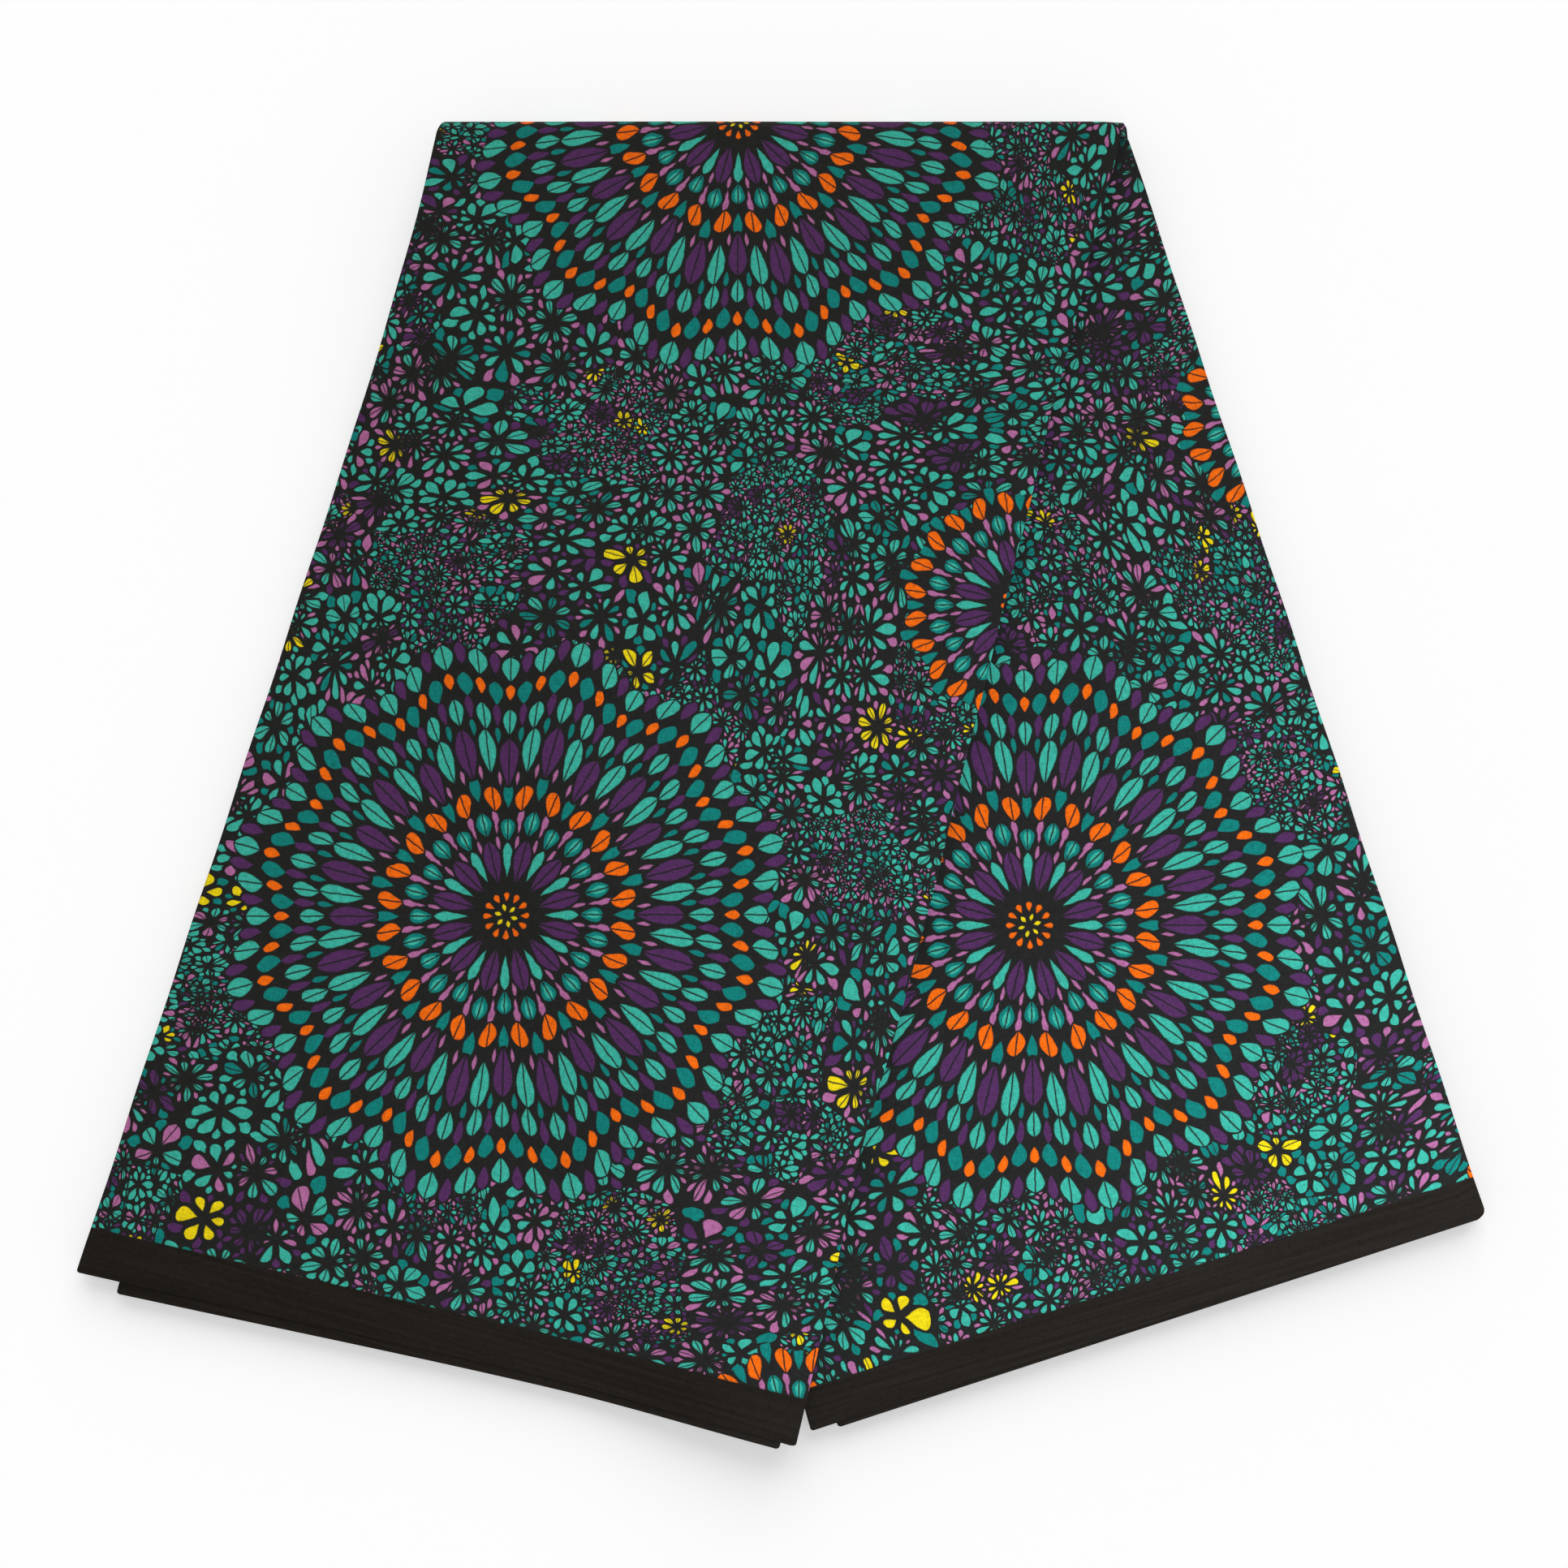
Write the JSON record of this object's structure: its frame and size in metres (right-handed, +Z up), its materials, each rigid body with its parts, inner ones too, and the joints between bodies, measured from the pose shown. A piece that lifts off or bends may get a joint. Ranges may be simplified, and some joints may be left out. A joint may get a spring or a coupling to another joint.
{
  "type": "folded wax print fabric",
  "caption": "Printed cotton cloth folded into a flat strip, turned over once at a slanting top fold, so that its two legs lean apart and one lies on the other.",
  "frame": {"origin": "on the surface that the cloth rests on, under the middle of its bounding box", "axes": "+Z up off the surface. +Y runs in the plane of the cloth from its two selvedge ends to its top fold. +X runs along the top fold, from the leg that lies on top to the leg that lies underneath. The viewer stands at -Y."},
  "size_m": [0.6076, 0.6034, 0.0163],
  "materials": {
    "printed_cotton": "matt printed cotton with a faint sheen",
    "folded_edges": "matt printed cotton, folded edges"
  },
  "bodies": {
    "root": {"left_leg_face": "printed_cotton", "left_leg_underside": "printed_cotton", "right_leg_face": "printed_cotton", "right_leg_underside": "printed_cotton", "hidden_layers": "folded_edges"}
  },
  "joints": []
}
